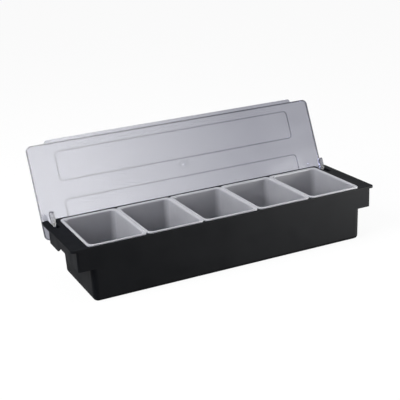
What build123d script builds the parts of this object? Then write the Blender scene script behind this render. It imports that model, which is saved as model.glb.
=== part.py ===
from build123d import *
from math import cos, hypot, radians, sin, tan
import os

# A bar garnish tray: a black moulded housing, five lift-out inserts, a smoky clear lid.
# X runs along the row of inserts, the front faces -Y, Z is up, all lengths in millimetres.
# The origin is the middle of the flat underside. The lid is drawn open, leaning back.

# Inserts
INSERT_COUNT = 5
INSERT_WIDTH = 88.7
INSERT_REACH = 132.8
INSERT_GAP = 0.3
INSERT_OVERHANG = 3.2
INSERT_WALL = 1.5
INSERT_FLOOR = 1.8
INSERT_RIM = 2
INSERT_RIM_RADIUS = 7
INSERT_RIM_ROUND = 0.8
INSERT_MOUTH_ROUND = 2.4
INSERT_BODY_RADIUS = 9
INSERT_FLOOR_ROUND = 4
INSERT_DRAFT = 2.6

# Housing
HEIGHT = 83.3
FLOOR = 3
WALL = 2.2
DECK = 3.4
FRONT_BORDER = 3
BACK_BORDER = 4.6
SIDE_DRAFT = 1.85
END_DRAFT = 1
END_WALL_INSET = 0.1
BODY_RADIUS = 8
BODY_BOTTOM_ROUND = 6
BACK_LIP = 6.1
END_LIP = 7.6
LIP_RADIUS = 6
LIP_ROUND = 0.8
INSERT_CLEARANCE = 0.4
ICE_ROOM = 7

# Hollow ears at both ends
EAR_LENGTH = 17.9
EAR_HEIGHT = 33
EAR_RADIUS = 3
NOTCH_WIDTH = 54
NOTCH_TOP_WIDTH = 28
NOTCH_DEPTH = 8.7
NOTCH_ROUND = 9

# Lid
LID_END_MARGIN = 1.9
LID_BACK_OVERHANG = 1.5
LID_LENGTH = 145
LID_THICKNESS = 2.5
LID_RADIUS = 8
LID_CLEARANCE = 0.3
LID_LEAN = 22.7
LID_DROP = 29.7
LID_REST_GAP = 0.6
LID_RIM = 2
LID_RIM_RAISE = 1.2
LID_EDGE_ROUND = 0.6
FLAP_REACH = 5.3
FLAP_INSET = 31
FLAP_STEP = 1.3
FLAP_RADIUS = 3.5
PANEL_END_MARGIN = 41.5
PANEL_BACK_MARGIN = 9
PANEL_FRONT_MARGIN = 13
PANEL_GAP = 27
PANEL_RADIUS = 7
PANEL_RAISE = 1.4
PANEL_WALL = 2
GATE_ALONG = 75
GATE_RADIUS = 7.5
GATE_RING = 1.1
GATE_DIMPLE = 0.5

# Lid arms and the pins they turn on
ARM_WIDTH = 6.8
ARM_SIDE_GAP = 0.5
ARM_EDGE_GAP = 1
ARM_DEPTH = 11
ARM_LENGTH = 24
FINGER_REACH = 22.8
FINGER_DEPTH = 4.5
ARM_ROUND = 2.2
ARM_HEEL_ROUND = 5
PIN_RADIUS = 2
PIN_CLEARANCE = 0.1
PIN_END_GAP = 0.3
PIN_BITE_INNER = 4
PIN_BITE_OUTER = 1.2
CHEEK_OUTER = 2.6
CHEEK_HALF = 6
PIN_DROP = 9

# One overrun for every cut
OVERRUN = 1


def rise(angle, run):
    """How far a wall that leans by this angle moves sideways over this height."""
    return run * tan(radians(angle))


# Places along X
ROW_HALF = (INSERT_COUNT * INSERT_WIDTH + (INSERT_COUNT - 1) * INSERT_GAP) / 2
BODY_TOP_HALF = ROW_HALF - END_WALL_INSET
EAR_HALF = ROW_HALF + EAR_LENGTH
LIP_HALF = EAR_HALF + END_LIP
LID_HALF = LIP_HALF - LID_END_MARGIN
SLOT_OUTER = EAR_HALF - CHEEK_OUTER
ARM_OUTER = SLOT_OUTER - ARM_SIDE_GAP
ARM_INNER = ARM_OUTER - ARM_WIDTH
SLOT_INNER = ARM_INNER - ARM_SIDE_GAP

# Places along Y
TOP_DEPTH = INSERT_REACH + FRONT_BORDER + BACK_BORDER
TOP_HALF = TOP_DEPTH / 2
INSERT_Y = FRONT_BORDER + INSERT_REACH / 2 - TOP_HALF
RIM_BACK = TOP_HALF + BACK_LIP

# Heights
DECK_UNDER = HEIGHT - DECK
EAR_UNDER = HEIGHT - EAR_HEIGHT
INSERT_TOP = HEIGHT + INSERT_RIM
INSERT_UNDER = FLOOR + ICE_ROOM

# The back edge of the lid's underside, when it is open and when it is closed but still raised
SWING = 90 + LID_LEAN
CLOSED_Z = INSERT_TOP + LID_CLEARANCE + PIN_DROP
CLOSED_Y = RIM_BACK + LID_BACK_OVERHANG
OPEN_Z = HEIGHT - LID_DROP
OPEN_Y = TOP_HALF - rise(SIDE_DRAFT, LID_DROP) + LID_REST_GAP

# The one axis that carries the lid from the one to the other, with its pins raised in their
# grooves. With the lid closed they drop, and end in the round seats at the grooves' feet.
SWING_SHARE = 0.5 / tan(radians(SWING / 2))
PIVOT_Y = (CLOSED_Y + OPEN_Y) / 2 - SWING_SHARE * (CLOSED_Z - OPEN_Z)
PIVOT_Z = (CLOSED_Z + OPEN_Z) / 2 + SWING_SHARE * (CLOSED_Y - OPEN_Y)
PIVOT_ALONG = CLOSED_Y - PIVOT_Y
PIVOT_BELOW = CLOSED_Z - PIVOT_Z
SEAT_Z = PIVOT_Z - PIN_DROP

# What the arm sweeps as it turns and drops
TIP_SWEEP = hypot(FINGER_REACH, ARM_LENGTH - PIVOT_BELOW)
HEEL_LOW = OPEN_Z + (PIVOT_ALONG - ARM_DEPTH / 2) * cos(radians(LID_LEAN))
SLOT_FRONT = PIVOT_Y - TIP_SWEEP - ARM_EDGE_GAP
SLOT_UNDER = min(HEEL_LOW, CLOSED_Z - ARM_LENGTH) - PIN_DROP - ARM_EDGE_GAP

# The lid's own directions while it is open
LID_ALONG = (0, sin(radians(LID_LEAN)), cos(radians(LID_LEAN)))
LID_FACING = (0, -cos(radians(LID_LEAN)), sin(radians(LID_LEAN)))
LID_PLANE = Plane(origin=(0, OPEN_Y, OPEN_Z), x_dir=(1, 0, 0), z_dir=LID_FACING)


def half_depth(height):
    """The outer half depth of the housing at a height."""
    return TOP_HALF - rise(SIDE_DRAFT, HEIGHT - height)


def body_half_length(height):
    """The outer half length of the lower box at a height."""
    return BODY_TOP_HALF - rise(END_DRAFT, HEIGHT - height)


def outline(height, length, depth, radius, middle=(0, 0)):
    """A rounded rectangle lying flat at a height."""
    with BuildSketch(Plane.XY.offset(height)) as flat:
        with Locations(middle):
            RectangleRounded(length, depth, radius)
    return flat.sketch


def housing_outline(height, half_length, radius, wall=0):
    """The housing's outline at a height, drawn in by a wall."""
    return outline(height, 2 * (half_length - wall), 2 * (half_depth(height) - wall), radius - wall)


def cheek(side, inner, outer):
    """The flat shape of one side of a pin's seat, at its lowest point."""
    with BuildSketch(Plane.XY.offset(SEAT_Z - CHEEK_HALF)) as flat:
        with Locations((side * (inner + outer) / 2, PIVOT_Y)):
            Rectangle(outer - inner, 2 * CHEEK_HALF)
    return flat.sketch


def notch(side):
    """The finger notch in an ear's end wall, standing in the middle of that wall."""
    with BuildSketch(Plane.YZ.offset(side * (EAR_HALF - WALL / 2))) as arch:
        with BuildLine():
            Polyline(
                (-NOTCH_WIDTH / 2, EAR_UNDER - OVERRUN),
                (-NOTCH_WIDTH / 2, EAR_UNDER),
                (-NOTCH_TOP_WIDTH / 2, EAR_UNDER + NOTCH_DEPTH),
                (NOTCH_TOP_WIDTH / 2, EAR_UNDER + NOTCH_DEPTH),
                (NOTCH_WIDTH / 2, EAR_UNDER),
                (NOTCH_WIDTH / 2, EAR_UNDER - OVERRUN),
                close=True,
            )
        make_face()
        fillet(arch.vertices().group_by(Axis.Y)[-1], NOTCH_ROUND)
    return arch.sketch


with BuildPart() as lower_box:
    loft([housing_outline(z, body_half_length(z), BODY_RADIUS) for z in (0, HEIGHT)])
    fillet(lower_box.faces().sort_by(Axis.Z)[0].edges(), BODY_BOTTOM_ROUND)

with BuildPart() as box_inside:
    loft([housing_outline(z, body_half_length(z), BODY_RADIUS, WALL) for z in (FLOOR, DECK_UNDER)])
    fillet(box_inside.faces().sort_by(Axis.Z)[0].edges(), BODY_BOTTOM_ROUND - WALL)

with BuildPart() as base_housing:
    # The upper shell runs past the box at both ends and makes the ears
    loft([housing_outline(z, EAR_HALF, EAR_RADIUS) for z in (EAR_UNDER, DECK_UNDER)])
    hollow = [housing_outline(z, EAR_HALF, EAR_RADIUS, WALL) for z in (EAR_UNDER - OVERRUN, DECK_UNDER)]
    loft(hollow, mode=Mode.SUBTRACT)

    # The lower box stands in the shell, with its rounded foot below
    add(lower_box.part)

    # The deck, with a lip past both ends and the back
    deck = [
        outline(
            z,
            2 * LIP_HALF,
            RIM_BACK + half_depth(z),
            LIP_RADIUS,
            (0, (RIM_BACK - half_depth(z)) / 2),
        )
        for z in (DECK_UNDER, HEIGHT)
    ]
    loft(deck)
    fillet(base_housing.faces().sort_by(Axis.Z)[-1].edges(), LIP_ROUND)

    # The inside of the box, and the opening that the inserts hang in
    add(box_inside.part, mode=Mode.SUBTRACT)
    opening = outline(
        DECK_UNDER - OVERRUN,
        2 * (ROW_HALF - INSERT_OVERHANG + INSERT_CLEARANCE),
        INSERT_REACH - 2 * (INSERT_OVERHANG - INSERT_CLEARANCE),
        INSERT_BODY_RADIUS + INSERT_CLEARANCE,
        (0, INSERT_Y),
    )
    extrude(opening, amount=DECK + 2 * OVERRUN, mode=Mode.SUBTRACT)

    for side in (-1, 1):
        # A finger notch in the lower edge of the ear's end wall
        extrude(notch(side), amount=WALL, both=True, mode=Mode.SUBTRACT)

        # The lid's arm swings in a slot, between two cheeks that seat its pin
        height = DECK_UNDER - SEAT_Z + CHEEK_HALF
        extrude(cheek(side, body_half_length(DECK_UNDER) - WALL / 2, SLOT_INNER), amount=height)
        extrude(cheek(side, SLOT_OUTER, EAR_HALF - WALL / 2), amount=height)
        with BuildSketch(Plane.XY.offset(SLOT_UNDER)):
            with Locations((side * (SLOT_INNER + SLOT_OUTER) / 2, (SLOT_FRONT + RIM_BACK + OVERRUN) / 2)):
                Rectangle(SLOT_OUTER - SLOT_INNER, RIM_BACK + OVERRUN - SLOT_FRONT)
        extrude(amount=HEIGHT - SLOT_UNDER + OVERRUN, mode=Mode.SUBTRACT)
        with BuildSketch(Plane.YZ.offset(side * (SLOT_INNER - PIN_BITE_INNER - PIN_END_GAP))):
            with Locations((PIVOT_Y, SEAT_Z)):
                Circle(PIN_RADIUS + PIN_CLEARANCE)
            with Locations((PIVOT_Y, (SEAT_Z + HEIGHT + OVERRUN) / 2)):
                Rectangle(2 * (PIN_RADIUS + PIN_CLEARANCE), HEIGHT + OVERRUN - SEAT_Z)
        groove = SLOT_OUTER - SLOT_INNER + PIN_BITE_INNER + PIN_BITE_OUTER + 2 * PIN_END_GAP
        extrude(amount=side * groove, mode=Mode.SUBTRACT)

base_housing.part.label = "base_housing"


def panel_span(number):
    """Start and end, along the lid from its back edge, of one raised panel."""
    each = (LID_LENGTH - PANEL_BACK_MARGIN - PANEL_FRONT_MARGIN - PANEL_GAP) / 2
    start = PANEL_BACK_MARGIN + number * (each + PANEL_GAP)
    return start, start + each


def panels(height, margin=0):
    """The outlines of both raised panels, at a height over the lid's underside."""
    with BuildSketch(LID_PLANE.offset(height)) as flat:
        for number in (0, 1):
            start, end = panel_span(number)
            with Locations((0, (start + end) / 2)):
                RectangleRounded(
                    2 * (LID_HALF - PANEL_END_MARGIN - margin),
                    end - start - 2 * margin,
                    PANEL_RADIUS - margin,
                )
    return flat.sketch


with BuildPart() as lid:
    # The flat sheet, whose underside lies on the lid's plane
    with BuildSketch(LID_PLANE):
        with Locations((0, LID_LENGTH / 2)):
            RectangleRounded(2 * LID_HALF, LID_LENGTH, LID_RADIUS)
    extrude(amount=-LID_THICKNESS)

    # A low rim stiffens its outer face all round
    with BuildSketch(LID_PLANE.offset(-LID_THICKNESS)):
        with Locations((0, LID_LENGTH / 2)):
            RectangleRounded(2 * LID_HALF, LID_LENGTH, LID_RADIUS)
            RectangleRounded(
                2 * (LID_HALF - LID_RIM),
                LID_LENGTH - 2 * LID_RIM,
                LID_RADIUS - LID_RIM,
                mode=Mode.SUBTRACT,
            )
    extrude(amount=-LID_RIM_RAISE)
    fillet(lid.faces().sort_by(Axis((0, 0, 0), LID_FACING))[0].edges(), LID_EDGE_ROUND)

    # The finger flap steps up from the rim and runs past the front edge
    with BuildSketch(LID_PLANE.offset(-FLAP_STEP)):
        with Locations((0, LID_LENGTH + (FLAP_REACH - LID_RIM) / 2)):
            RectangleRounded(2 * (LID_HALF - FLAP_INSET), FLAP_REACH + LID_RIM, FLAP_RADIUS)
    extrude(amount=-LID_THICKNESS)

    # Two raised panels, hollow underneath
    extrude(panels(-LID_THICKNESS), amount=-PANEL_RAISE)
    extrude(panels(0, PANEL_WALL), amount=-PANEL_RAISE, mode=Mode.SUBTRACT)

    # The round mould mark between them
    with BuildSketch(LID_PLANE):
        with Locations((0, GATE_ALONG)):
            Circle(GATE_RADIUS)
            Circle(GATE_RADIUS - GATE_RING, mode=Mode.SUBTRACT)
    extrude(amount=-GATE_DIMPLE, mode=Mode.SUBTRACT)

    # An arm at each end, with a finger that turns along the lid
    for side in (-1, 1):
        start = side * (ARM_INNER + ARM_OUTER) / 2 - ARM_WIDTH / 2
        heel = PIVOT_ALONG - ARM_DEPTH / 2
        arm_plane = Plane(origin=(start, OPEN_Y, OPEN_Z), x_dir=LID_ALONG, z_dir=(1, 0, 0))
        with BuildSketch(arm_plane) as arm:
            with BuildLine():
                Polyline(
                    (heel, -LID_THICKNESS / 2),
                    (heel, ARM_LENGTH),
                    (PIVOT_ALONG + FINGER_REACH, ARM_LENGTH),
                    (PIVOT_ALONG + FINGER_REACH, ARM_LENGTH - FINGER_DEPTH),
                    (heel + ARM_DEPTH, ARM_LENGTH - FINGER_DEPTH),
                    (heel + ARM_DEPTH, -LID_THICKNESS / 2),
                    close=True,
                )
            make_face()
            fillet(arm.vertices().group_by(Axis.X)[-1], ARM_ROUND)
            fillet(arm.vertices().group_by(Axis.Y)[-1].sort_by(Axis.X)[0], ARM_HEEL_ROUND)
            with Locations((PIVOT_ALONG, PIVOT_BELOW)):
                Circle(PIN_RADIUS + PIN_CLEARANCE, mode=Mode.SUBTRACT)
        extrude(amount=ARM_WIDTH)

lid.part.label = "lid"


def hinge_pin(side):
    """A short round pin through one arm, seated in the cheeks on both sides."""
    inner = SLOT_INNER - PIN_BITE_INNER
    outer = SLOT_OUTER + PIN_BITE_OUTER
    with BuildPart() as pin:
        with BuildSketch(Plane.YZ.offset(side * inner)):
            with Locations((PIVOT_Y, PIVOT_Z)):
                Circle(PIN_RADIUS)
        extrude(amount=side * (outer - inner))
    return pin.part


def tapered_cup(middle, under, shrink, floor_round):
    """A tapered block with a rounded foot: the outside of an insert, or its inside."""
    taper = rise(INSERT_DRAFT, INSERT_TOP - under)
    width = INSERT_WIDTH - 2 * (INSERT_OVERHANG + shrink)
    reach = INSERT_REACH - 2 * (INSERT_OVERHANG + shrink)
    radius = INSERT_BODY_RADIUS - shrink
    foot = outline(under, width - 2 * taper, reach - 2 * taper, radius, middle)
    with BuildPart() as block:
        loft([foot, outline(INSERT_TOP, width, reach, radius, middle)])
        fillet(block.faces().sort_by(Axis.Z)[0].edges(), floor_round)
    return block.part


def insert(number):
    """One lift-out insert, hanging by its rim on the housing's deck."""
    across = (number - (INSERT_COUNT + 1) / 2) * (INSERT_WIDTH + INSERT_GAP)
    middle = (across, INSERT_Y)
    with BuildPart() as cup:
        add(tapered_cup(middle, INSERT_UNDER, 0, INSERT_FLOOR_ROUND))
        extrude(outline(HEIGHT, INSERT_WIDTH, INSERT_REACH, INSERT_RIM_RADIUS, middle), amount=INSERT_RIM)
        inside_round = INSERT_FLOOR_ROUND - INSERT_WALL
        inside = tapered_cup(middle, INSERT_UNDER + INSERT_FLOOR, INSERT_WALL, inside_round)
        add(inside, mode=Mode.SUBTRACT)
        top = cup.faces().sort_by(Axis.Z)[-1]
        fillet(top.outer_wire().edges(), INSERT_RIM_ROUND)
        top = cup.faces().sort_by(Axis.Z)[-1]
        fillet(top.inner_wires()[0].edges(), INSERT_MOUTH_ROUND)
    return cup.part


os.makedirs("parts", exist_ok=True)
export_step(base_housing.part, "parts/base_housing.step")
export_step(lid.part, "parts/lid.step")
for side, word in ((-1, "left"), (1, "right")):
    pin = hinge_pin(side)
    pin.label = f"hinge_pin_{word}"
    export_step(pin, f"parts/hinge_pin_{word}.step")
for number in range(1, INSERT_COUNT + 1):
    cup = insert(number)
    cup.label = f"insert_{number}"
    export_step(cup, f"parts/insert_{number}.step")
print(f"lid pivot at y {PIVOT_Y:.3f}, z {PIVOT_Z:.3f}, swing {SWING:.2f} degrees")
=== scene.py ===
from math import cos, radians, sin

import bpy
from mathutils import Matrix, Vector


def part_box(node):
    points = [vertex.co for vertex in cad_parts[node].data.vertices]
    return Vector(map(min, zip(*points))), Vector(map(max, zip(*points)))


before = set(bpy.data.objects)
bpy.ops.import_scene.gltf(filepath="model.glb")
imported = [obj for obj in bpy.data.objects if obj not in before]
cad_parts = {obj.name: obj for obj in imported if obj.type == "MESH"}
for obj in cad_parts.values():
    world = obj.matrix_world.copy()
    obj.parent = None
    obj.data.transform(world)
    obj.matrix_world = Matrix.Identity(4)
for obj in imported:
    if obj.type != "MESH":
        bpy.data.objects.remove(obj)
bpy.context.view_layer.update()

# Below, lengths are in metres, angles in degrees, and colours in linear light.

# The photograph's camera, fitted to the tray's edges
PHOTO_PIXELS = 400
FOCAL_PIXELS = 922.25
SENSOR_MM = 36
CAMERA_PLACE = Vector((-0.5614, -1.2075, 0.5358))
CAMERA_RIGHT = Vector((0.9022, -0.4269, -0.0617))
CAMERA_UP = Vector((0.1888, 0.2622, 0.9463))
CLIP_NEAR = 0.05
CLIP_FAR = 100

# What the plastics share, and the range that most of a noise's values are in
PLASTIC_IOR = 1.49
NOISE_MIDDLE = (0.3, 0.7)

# The black plastic: broad paler patches, worn edges, and a fine moulded grain
BLACK = (0.0028, 0.0032, 0.0042, 1)
BLACK_WORN = (0.0078, 0.0085, 0.0104, 1)
BLACK_SPECULAR = 0.026
BLACK_ROUGHNESS = (0.50, 0.64)
BLACK_ROUGHNESS_SIZE = 0.03
PATCH_SIZE = 0.09
PATCH_VALUES = (0.35, 0.75)
PATCH_MOST = 0.35
WORN_POINTINESS = (0.52, 0.60)
WORN_MOST = 0.7
GRAIN_SIZE = 0.0006
GRAIN_HEIGHT = 0.00004
GRAIN_STRENGTH = 0.6

# The smoky clear plastic: its tint, a haze that varies in smears, and a shallow ripple
SMOKE_SURFACE = (0.97, 0.97, 0.98, 1)
# Painted shade for the dark lines along the lid's edges and the ring round its mould mark
SMOKE_EDGE_SHADE = (0.27, 0.27, 0.29, 1)
SMOKE_DEPTH = (0.285, 0.292, 0.372, 1)
SMOKE_DENSITY = 600
SMOKE_ROUGHNESS = (0.10, 0.17)
SMEAR_SIZE = 0.05
SMEAR_STRETCH = (1, 2, 1)
SMEAR_VALUES = (0.3, 0.75)
RIPPLE_SIZE = 0.03
RIPPLE_HEIGHT = 0.0003
RIPPLE_STRENGTH = 0.15

# The lid as it rests: its lean, its length from its back edge, that edge's height along the lean,
# and half its width
LID_LEAN = 22.7
LID_LENGTH = 0.145
LID_FOOT = 0.0764
LID_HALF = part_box("lid")[1][0]

# The painted shade of dark lines along the lid's edges, and its round mould mark: a dimple with a faint
# ring of painted shade round it
EDGE_LINE = 0.0011
LINE_BORDER = 0.1
MARK_ALONG = 0.075
RING_RADIUS = 0.0069
RING_SHARE = 0.3
DIMPLE_RADIUS = 0.004
DIMPLE_DEPTH = 0.0006

# The inserts: painted shade that darkens the walls towards the foot, a rim painted paler as if lit from
# above, and faintly cloudy
INSERT_SHADED_LOW = (0.225, 0.227, 0.248, 1)
INSERT_HIGH = (0.315, 0.317, 0.343, 1)
INSERT_LIT_RIM = (0.36, 0.363, 0.386, 1)
WALL_HEIGHTS = (0.035, 0.0836)
RIM_HEIGHTS = (0.0836, 0.0853)
CLOUD_SIZE = 0.03
CLOUD_SWING = (-0.12, 0.12)
INSERT_SPECULAR = 0.2
INSERT_ROUGHNESS = (0.34, 0.46)
INSERT_ROUGHNESS_SIZE = 0.012
INSERT_GRAIN_SIZE = 0.0009
INSERT_GRAIN_HEIGHT = 0.00003
INSERT_GRAIN_STRENGTH = 0.4
SCATTER_RADIUS = (1.0, 1.0, 1.05)
SCATTER_SCALE = 0.0025

# The pins' drawn steel
STEEL = (0.55, 0.55, 0.56, 1)
STEEL_DARK = (0.38, 0.38, 0.40, 1)
STEEL_ROUGHNESS = (0.22, 0.38)
DRAWN_SIZE = 0.0006
DRAWN_STRETCH = (1, 12, 12)

# The studio, and the points that its lamps are turned to
WHITE = (1, 1, 1, 1)
WORLD_LIGHT = (0.34, 0.34, 0.35, 1)
FLOOR_SIZE = 40
FLOOR_COLOUR = (0.9, 0.9, 0.9, 1)
FLOOR_GLOW_SHARE = 0.93
FLOOR_MIDDLE = (0, 0, 0)
TRAY_MIDDLE = (0, 0, 0.05)
LID_MIDDLE = (0, 0.1, 0.15)
FRONT_RIGHT = (0.2, -0.07, 0.04)
RIGHT_INSERTS = (0.14, 0, 0.08)
LID_CARD_FADE = (0.25, 0.8)

# The colour sockets of Blender's Mix node, by number
MIX_FIRST = 6
MIX_SECOND = 7
MIX_RESULT = 2


class Nodes:
    """A node tree, with short calls for the nodes it is made of."""

    def __init__(self, tree):
        self.tree = tree
        tree.nodes.clear()

    def node(self, kind, inputs=None, **settings):
        """A new node, each of its inputs linked to an output or set to a number or colour."""
        node = self.tree.nodes.new(kind)
        for key, value in settings.items():
            setattr(node, key, value)
        for key, value in (inputs or {}).items():
            if isinstance(value, bpy.types.NodeSocket):
                self.tree.links.new(value, node.inputs[key])
            else:
                node.inputs[key].default_value = value
        return node

    def math(self, operation, *values):
        """One math operation on outputs and numbers."""
        return self.node("ShaderNodeMath", dict(enumerate(values)), operation=operation).outputs[0]

    def spread(self, value, to, over):
        """Runs from one end of a range to the other while the value runs over its own range."""
        inputs = {
            "Value": value,
            "From Min": over[0],
            "From Max": over[1],
            "To Min": to[0],
            "To Max": to[1],
        }
        return self.node("ShaderNodeMapRange", inputs).outputs["Result"]

    def blend(self, factor, first, second):
        """Two colours mixed by a factor."""
        inputs = {"Factor": factor, MIX_FIRST: first, MIX_SECOND: second}
        return self.node("ShaderNodeMix", inputs, data_type="RGBA").outputs[MIX_RESULT]

    def axes(self, vector):
        """A vector's X, Y and Z as outputs."""
        return self.node("ShaderNodeSeparateXYZ", {"Vector": vector}).outputs

    def mix_shaders(self, share, first, second):
        """Two shaders, mixed with this share of the second."""
        return self.node("ShaderNodeMixShader", {"Fac": share, 1: first, 2: second}).outputs["Shader"]

    def shown_rays(self):
        """One for rays that show the background: from the camera, by gloss and through the lid."""
        rays = self.node("ShaderNodeLightPath").outputs
        direct = self.math("MAXIMUM", rays["Is Camera Ray"], rays["Is Glossy Ray"])
        return self.math("MAXIMUM", direct, rays["Is Transmission Ray"])


class Material(Nodes):
    """A material, whose patterns stay on the object when it moves."""

    def __init__(self, name):
        self.material = bpy.data.materials.new(name)
        self.material.use_nodes = True
        super().__init__(self.material.node_tree)

    def place(self):
        """Where a point is on the object as it rests."""
        return self.node("ShaderNodeTexCoord").outputs["Object"]

    def noise(self, size, detail=2, roughness=0.5, stretch=(1, 1, 1)):
        """Noise with features of about this size, finer along an axis with a larger stretch."""
        mapping = self.node("ShaderNodeMapping", {"Vector": self.place(), "Scale": stretch})
        inputs = {
            "Vector": mapping.outputs["Vector"],
            "Scale": 1 / size,
            "Detail": detail,
            "Roughness": roughness,
        }
        return self.node("ShaderNodeTexNoise", inputs).outputs["Fac"]

    def near(self, value, place, width):
        """One where a value is within half this width of a place, with a soft border."""
        off = self.math("ABSOLUTE", self.math("SUBTRACT", value, place))
        over = ((0.5 - LINE_BORDER) * width, (0.5 + LINE_BORDER) * width)
        return self.spread(off, to=(1, 0), over=over)

    def bump(self, height, depth, strength, below=None):
        """A bump of this depth, over another bump if one is given."""
        inputs = {"Height": height, "Distance": depth, "Strength": strength}
        if below is not None:
            inputs["Normal"] = below
        return self.node("ShaderNodeBump", inputs).outputs["Normal"]

    def principled(self, **values):
        """The main shader, with underscores for the spaces in its inputs' names."""
        inputs = {key.replace("_", " "): value for key, value in values.items()}
        return self.node("ShaderNodeBsdfPrincipled", inputs).outputs["BSDF"]

    def done(self, **shaders):
        """The material with its surface, and its volume if it has one."""
        self.node("ShaderNodeOutputMaterial", shaders)
        return self.material


def black_plastic():
    """Black moulded plastic with a fine grain, a little paler in patches and on its edges."""
    shade = Material("black_plastic")
    patches = shade.spread(shade.noise(PATCH_SIZE, detail=3), to=(0, PATCH_MOST), over=PATCH_VALUES)
    pointiness = shade.node("ShaderNodeNewGeometry").outputs["Pointiness"]
    worn = shade.spread(pointiness, to=(0, WORN_MOST), over=WORN_POINTINESS)
    colour = shade.blend(worn, shade.blend(patches, BLACK, BLACK_WORN), BLACK_WORN)
    haze = shade.noise(BLACK_ROUGHNESS_SIZE, detail=4)
    grain = shade.noise(GRAIN_SIZE, roughness=0.6)
    surface = shade.principled(
        Base_Color=colour,
        Roughness=shade.spread(haze, to=BLACK_ROUGHNESS, over=NOISE_MIDDLE),
        Normal=shade.bump(grain, GRAIN_HEIGHT, GRAIN_STRENGTH),
        IOR=PLASTIC_IOR,
        Specular_IOR_Level=BLACK_SPECULAR,
    )
    return shade.done(Surface=surface)


def lid_places(shade):
    """How far a point of the lid is from its middle, sideways, and from its back edge, at rest."""
    turn = shade.node(
        "ShaderNodeVectorRotate",
        {"Vector": shade.place(), "Angle": radians(LID_LEAN)},
        rotation_type="X_AXIS",
    )
    upright = shade.axes(turn.outputs["Vector"])
    return upright["X"], shade.math("SUBTRACT", upright["Z"], LID_FOOT)


def smoky_clear():
    """Clear smoke-tinted plastic with painted shade along its edges, a light haze, and a mould mark with
    a ring of painted shade.
    """
    shade = Material("smoky_clear")
    across, along = lid_places(shade)
    # A side's line is centred on the lid's edge, so that one half of its width is on the lid
    sides = shade.near(shade.math("ABSOLUTE", across), LID_HALF, 2 * EDGE_LINE)
    front = shade.near(along, LID_LENGTH - EDGE_LINE / 2, EDGE_LINE)

    above = shade.math("SUBTRACT", along, MARK_ALONG)
    across_squared = shade.math("MULTIPLY", across, across)
    above_squared = shade.math("MULTIPLY", above, above)
    from_mark = shade.math("SQRT", shade.math("ADD", across_squared, above_squared))
    ring = shade.math("MULTIPLY", shade.near(from_mark, RING_RADIUS, EDGE_LINE), RING_SHARE)
    dimple = shade.spread(from_mark, to=(1, 0), over=(0, DIMPLE_RADIUS))

    # Painted shade: the dark lines along the edges and round the mould mark, which darken the colour
    lines = shade.math("MAXIMUM", shade.math("MAXIMUM", sides, front), ring)
    smears = shade.noise(SMEAR_SIZE, detail=4, roughness=0.6, stretch=SMEAR_STRETCH)
    ripple = shade.noise(RIPPLE_SIZE, roughness=0.4)
    ripple_bump = shade.bump(ripple, RIPPLE_HEIGHT, RIPPLE_STRENGTH)
    glass = shade.principled(
        Base_Color=shade.blend(lines, SMOKE_SURFACE, SMOKE_EDGE_SHADE),
        Roughness=shade.spread(smears, to=SMOKE_ROUGHNESS, over=SMEAR_VALUES),
        Normal=shade.bump(dimple, DIMPLE_DEPTH, strength=1, below=ripple_bump),
        IOR=PLASTIC_IOR,
        Transmission_Weight=1,
    )

    # Shadow rays pass straight through, so that the lid dims the light but casts no black shadow
    shadow_ray = shade.node("ShaderNodeLightPath").outputs["Is Shadow Ray"]
    clear = shade.node("ShaderNodeBsdfTransparent", {"Color": SMOKE_SURFACE}).outputs["BSDF"]
    depth = shade.node("ShaderNodeVolumeAbsorption", {"Color": SMOKE_DEPTH, "Density": SMOKE_DENSITY})
    surface = shade.mix_shaders(shadow_ray, glass, clear)
    return shade.done(Surface=surface, Volume=depth.outputs["Volume"])


def translucent_insert():
    """Natural translucent plastic, satin, with the faint cloudiness of a moulding, painted shade deeper
    down its walls and a paler painted rim.
    """
    shade = Material("translucent_insert")
    height = shade.axes(shade.place())["Z"]
    cloud = shade.spread(shade.noise(CLOUD_SIZE, detail=3), to=CLOUD_SWING, over=NOISE_MIDDLE)
    # Painted shade: the walls darken towards the foot and the rim is painted paler, where light falls;
    # the cloud is the moulding's own
    wall_shade_and_cloud = shade.math("ADD", shade.spread(height, to=(0, 1), over=WALL_HEIGHTS), cloud)
    lit_rim = shade.spread(height, to=(0, 1), over=RIM_HEIGHTS)
    haze = shade.noise(INSERT_ROUGHNESS_SIZE, detail=3)
    grain = shade.noise(INSERT_GRAIN_SIZE)
    surface = shade.principled(
        Base_Color=shade.blend(lit_rim, shade.blend(wall_shade_and_cloud, INSERT_SHADED_LOW, INSERT_HIGH), INSERT_LIT_RIM),
        Roughness=shade.spread(haze, to=INSERT_ROUGHNESS, over=NOISE_MIDDLE),
        Normal=shade.bump(grain, INSERT_GRAIN_HEIGHT, INSERT_GRAIN_STRENGTH),
        IOR=PLASTIC_IOR,
        Specular_IOR_Level=INSERT_SPECULAR,
        Subsurface_Weight=1,
        Subsurface_Radius=SCATTER_RADIUS,
        Subsurface_Scale=SCATTER_SCALE,
    )
    return shade.done(Surface=surface)


def drawn_steel():
    """Steel rod with fine lines along it."""
    shade = Material("drawn_steel")
    lines = shade.noise(DRAWN_SIZE, detail=3, roughness=0.6, stretch=DRAWN_STRETCH)
    surface = shade.principled(
        Base_Color=shade.blend(shade.spread(lines, to=(0, 1), over=NOISE_MIDDLE), STEEL_DARK, STEEL),
        Roughness=shade.spread(lines, to=STEEL_ROUGHNESS, over=NOISE_MIDDLE),
        Metallic=1,
    )
    return shade.done(Surface=surface)


def dress(material, names):
    """Gives CAD nodes their material."""
    for name in names:
        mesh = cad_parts[name].data
        mesh.materials.clear()
        mesh.materials.append(material)


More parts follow.
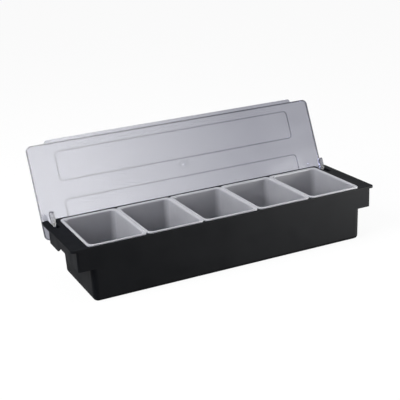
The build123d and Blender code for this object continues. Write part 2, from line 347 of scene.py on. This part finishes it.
def floor():
    """A wide white floor that keeps a soft shadow."""
    bpy.ops.mesh.primitive_plane_add(size=FLOOR_SIZE)
    plane = bpy.context.object
    plane.name = "floor"
    shade = Material("floor_white")
    diffuse = shade.node("ShaderNodeBsdfDiffuse", {"Color": FLOOR_COLOUR}).outputs["BSDF"]
    glow = shade.node("ShaderNodeEmission", {"Color": WHITE}).outputs["Emission"]
    share = shade.math("MULTIPLY", shade.shown_rays(), FLOOR_GLOW_SHARE)
    plane.data.materials.append(shade.done(Surface=shade.mix_shaders(share, diffuse, glow)))


def surroundings():
    """A white background, and a soft even light from all round."""
    world = bpy.data.worlds.new("studio")
    world.use_nodes = True
    nodes = Nodes(world.node_tree)
    colour = nodes.blend(nodes.shown_rays(), WORLD_LIGHT, WHITE)
    background = nodes.node("ShaderNodeBackground", {"Color": colour})
    nodes.node("ShaderNodeOutputWorld", {"Surface": background.outputs["Background"]})
    bpy.context.scene.world = world


def soft_box(name, aim, azimuth, elevation, distance, size, watts):
    """A rectangular soft light turned to a point, with azimuth 0 in front and 90 to the right."""
    turn = radians(azimuth)
    climb = radians(elevation)
    way = Vector((sin(turn) * cos(climb), -cos(turn) * cos(climb), sin(climb)))
    data = bpy.data.lights.new(name, "AREA")
    data.shape = "RECTANGLE"
    data.size = size[0]
    data.size_y = size[1]
    data.energy = watts
    lamp = bpy.data.objects.new(name, data)
    lamp.location = Vector(aim) + distance * way
    lamp.rotation_euler = (-way).to_track_quat("-Z", "Y").to_euler()
    lamp.visible_camera = False
    bpy.context.scene.collection.objects.link(lamp)
    return lamp


def fade_across(lamp, over):
    """Fades a soft light from full to nothing between two shares of its width."""
    lamp.data.use_nodes = True
    nodes = Nodes(lamp.data.node_tree)
    across = nodes.axes(nodes.node("ShaderNodeTexCoord").outputs["UV"])["X"]
    emission = nodes.node("ShaderNodeEmission", {"Strength": nodes.spread(across, to=(1, 0), over=over)})
    nodes.node("ShaderNodeOutputLight", {"Surface": emission.outputs["Emission"]})


def lamps():
    """Soft light from the left and above, a little fill, and two cards that show only as gloss."""
    soft_box("key", TRAY_MIDDLE, azimuth=-82, elevation=40, distance=1.8, size=(1.2, 1.2), watts=38)
    soft_box("top", FLOOR_MIDDLE, azimuth=116.57, elevation=82.92, distance=1.8138, size=(1, 1), watts=8)
    fill = soft_box(
        "fill", RIGHT_INSERTS, azimuth=15, elevation=48, distance=0.5, size=(0.4, 0.4), watts=0.5
    )
    fill.visible_glossy = False
    lid_card = soft_box(
        "lid_card", LID_MIDDLE, azimuth=20, elevation=23, distance=1.6, size=(1.1, 0.7), watts=20
    )
    lid_card.visible_diffuse = False
    fade_across(lid_card, LID_CARD_FADE)
    low_card = soft_box(
        "low_card", FRONT_RIGHT, azimuth=52, elevation=8, distance=0.8, size=(0.6, 0.4), watts=130
    )
    low_card.visible_diffuse = False


def camera():
    """The photograph's camera."""
    data = bpy.data.cameras.new("camera")
    data.sensor_width = SENSOR_MM
    data.lens = SENSOR_MM * FOCAL_PIXELS / PHOTO_PIXELS
    data.clip_start = CLIP_NEAR
    data.clip_end = CLIP_FAR
    right = CAMERA_RIGHT.normalized()
    back = right.cross(CAMERA_UP).normalized()
    up = back.cross(right)
    turn = Matrix((right, up, back)).transposed().to_4x4()
    camera_object = bpy.data.objects.new("camera", data)
    camera_object.matrix_world = Matrix.Translation(CAMERA_PLACE) @ turn
    bpy.context.scene.collection.objects.link(camera_object)
    bpy.context.scene.camera = camera_object


dress(black_plastic(), ["base_housing"])
dress(smoky_clear(), ["lid"])
dress(translucent_insert(), [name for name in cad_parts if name.startswith("insert_")])
dress(drawn_steel(), ["hinge_pin_left", "hinge_pin_right"])
floor()
surroundings()
lamps()
camera()
bpy.context.scene.view_settings.view_transform = "Standard"
